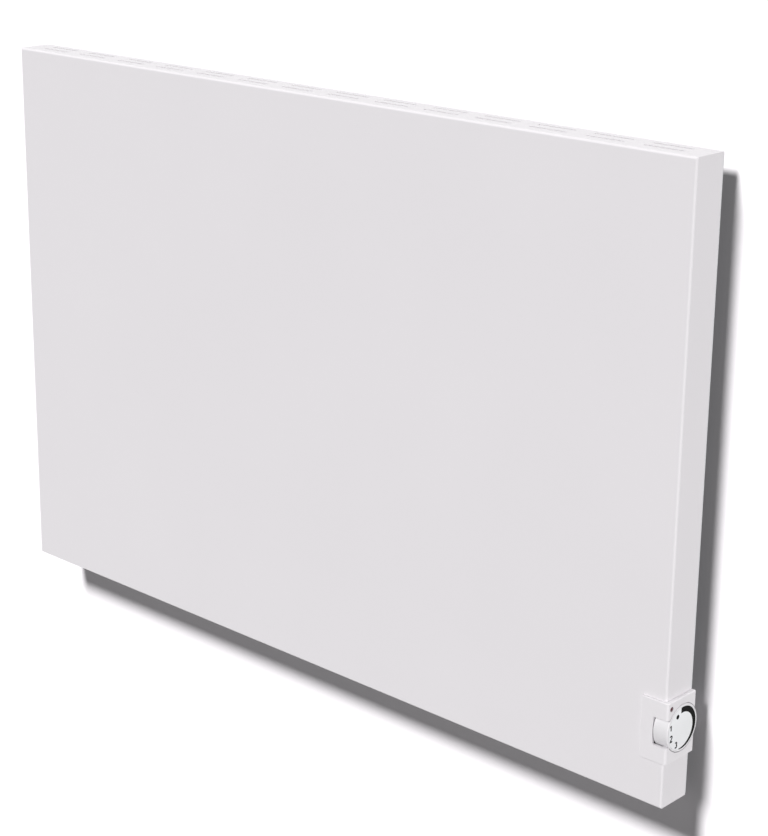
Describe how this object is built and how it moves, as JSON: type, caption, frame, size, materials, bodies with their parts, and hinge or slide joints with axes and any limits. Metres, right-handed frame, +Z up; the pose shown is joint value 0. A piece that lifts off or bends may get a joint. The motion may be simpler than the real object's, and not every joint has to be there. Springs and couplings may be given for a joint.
{
  "type": "wall panel convector heater",
  "caption": "Slim white steel wall convector with slotted top, hooked wall bracket, finned element and a corner thermostat wheel in a moulded collar.",
  "frame": {"origin": "on the wall plane, at the middle of the wall bracket's cross bar, level with the middle of the casing's height", "axes": "+X to the right seen from the room, along the casing's width; +Y into the wall; +Z up"},
  "size_m": [0.9048, 0.061, 0.6],
  "materials": {
    "casing_paint": "satin white powder coat",
    "galvanised_sheet": "galvanised, dull",
    "aluminium": "mill finish",
    "steel": "zinc plated",
    "brass": "turned",
    "ceramic": "unglazed",
    "white_plastic": "fine satin moulding",
    "grey_plastic": "satin moulding",
    "black_plastic": "satin moulding",
    "board_laminate": "lacquered laminate",
    "red_lens": "clear dark red",
    "brown_wire": "sleeved",
    "blue_wire": "sleeved",
    "green_wire": "sleeved, green with yellow"
  },
  "bodies": {
    "wall_bracket": {"bracket_upright_left": "galvanised_sheet", "bracket_upright_right": "galvanised_sheet", "bracket_cross_bar": "galvanised_sheet"},
    "heater": {"front_casing": "casing_paint", "rear_panel": "galvanised_sheet", "element_profile": "aluminium", "element_rod": "steel", "element_bracket_left": "galvanised_sheet", "element_bracket_right": "galvanised_sheet", "element_bush_left": "ceramic", "element_bush_right": "ceramic", "heat_shield": "aluminium", "thermal_cutout": "black_plastic", "thermostat_housing": "grey_plastic", "thermostat_collar": "white_plastic", "potentiometer": "steel", "control_board": "board_laminate", "relay": "black_plastic", "board_connector": "white_plastic", "status_led": "red_lens", "led_lens": "red_lens", "room_sensor": "black_plastic", "terminal_block": "white_plastic", "cable_gland": "black_plastic", "gland_nut": "black_plastic", "earth_stud": "brass", "earth_nut": "brass", "live_wire": "brown_wire", "neutral_wire": "blue_wire", "earth_wire": "green_wire", "cutout_wire": "brown_wire", "element_wire_left": "brown_wire", "element_wire_right": "blue_wire", "rear_screw_1": "steel", "rear_screw_2": "steel", "rear_screw_3": "steel", "rear_screw_4": "steel", "rear_screw_5": "steel", "rear_screw_6": "steel", "rear_screw_7": "steel", "rear_screw_8": "steel", "housing_screw_1": "steel", "housing_screw_2": "steel"},
    "dial": {"dial_wheel": "white_plastic", "dial_spindle": "brass"}
  },
  "joints": [
    {"name": "heater_lift", "type": "slide", "parent": "wall_bracket", "child": "heater", "axis": [0, 0, 1], "range_m": [0, 0.012]},
    {"name": "dial_turn", "type": "hinge", "parent": "heater", "child": "dial", "pos_m": [0.45, -0.0378, -0.2235], "axis": [-1, 0, 0], "range_deg": [0, 270]}
  ]
}
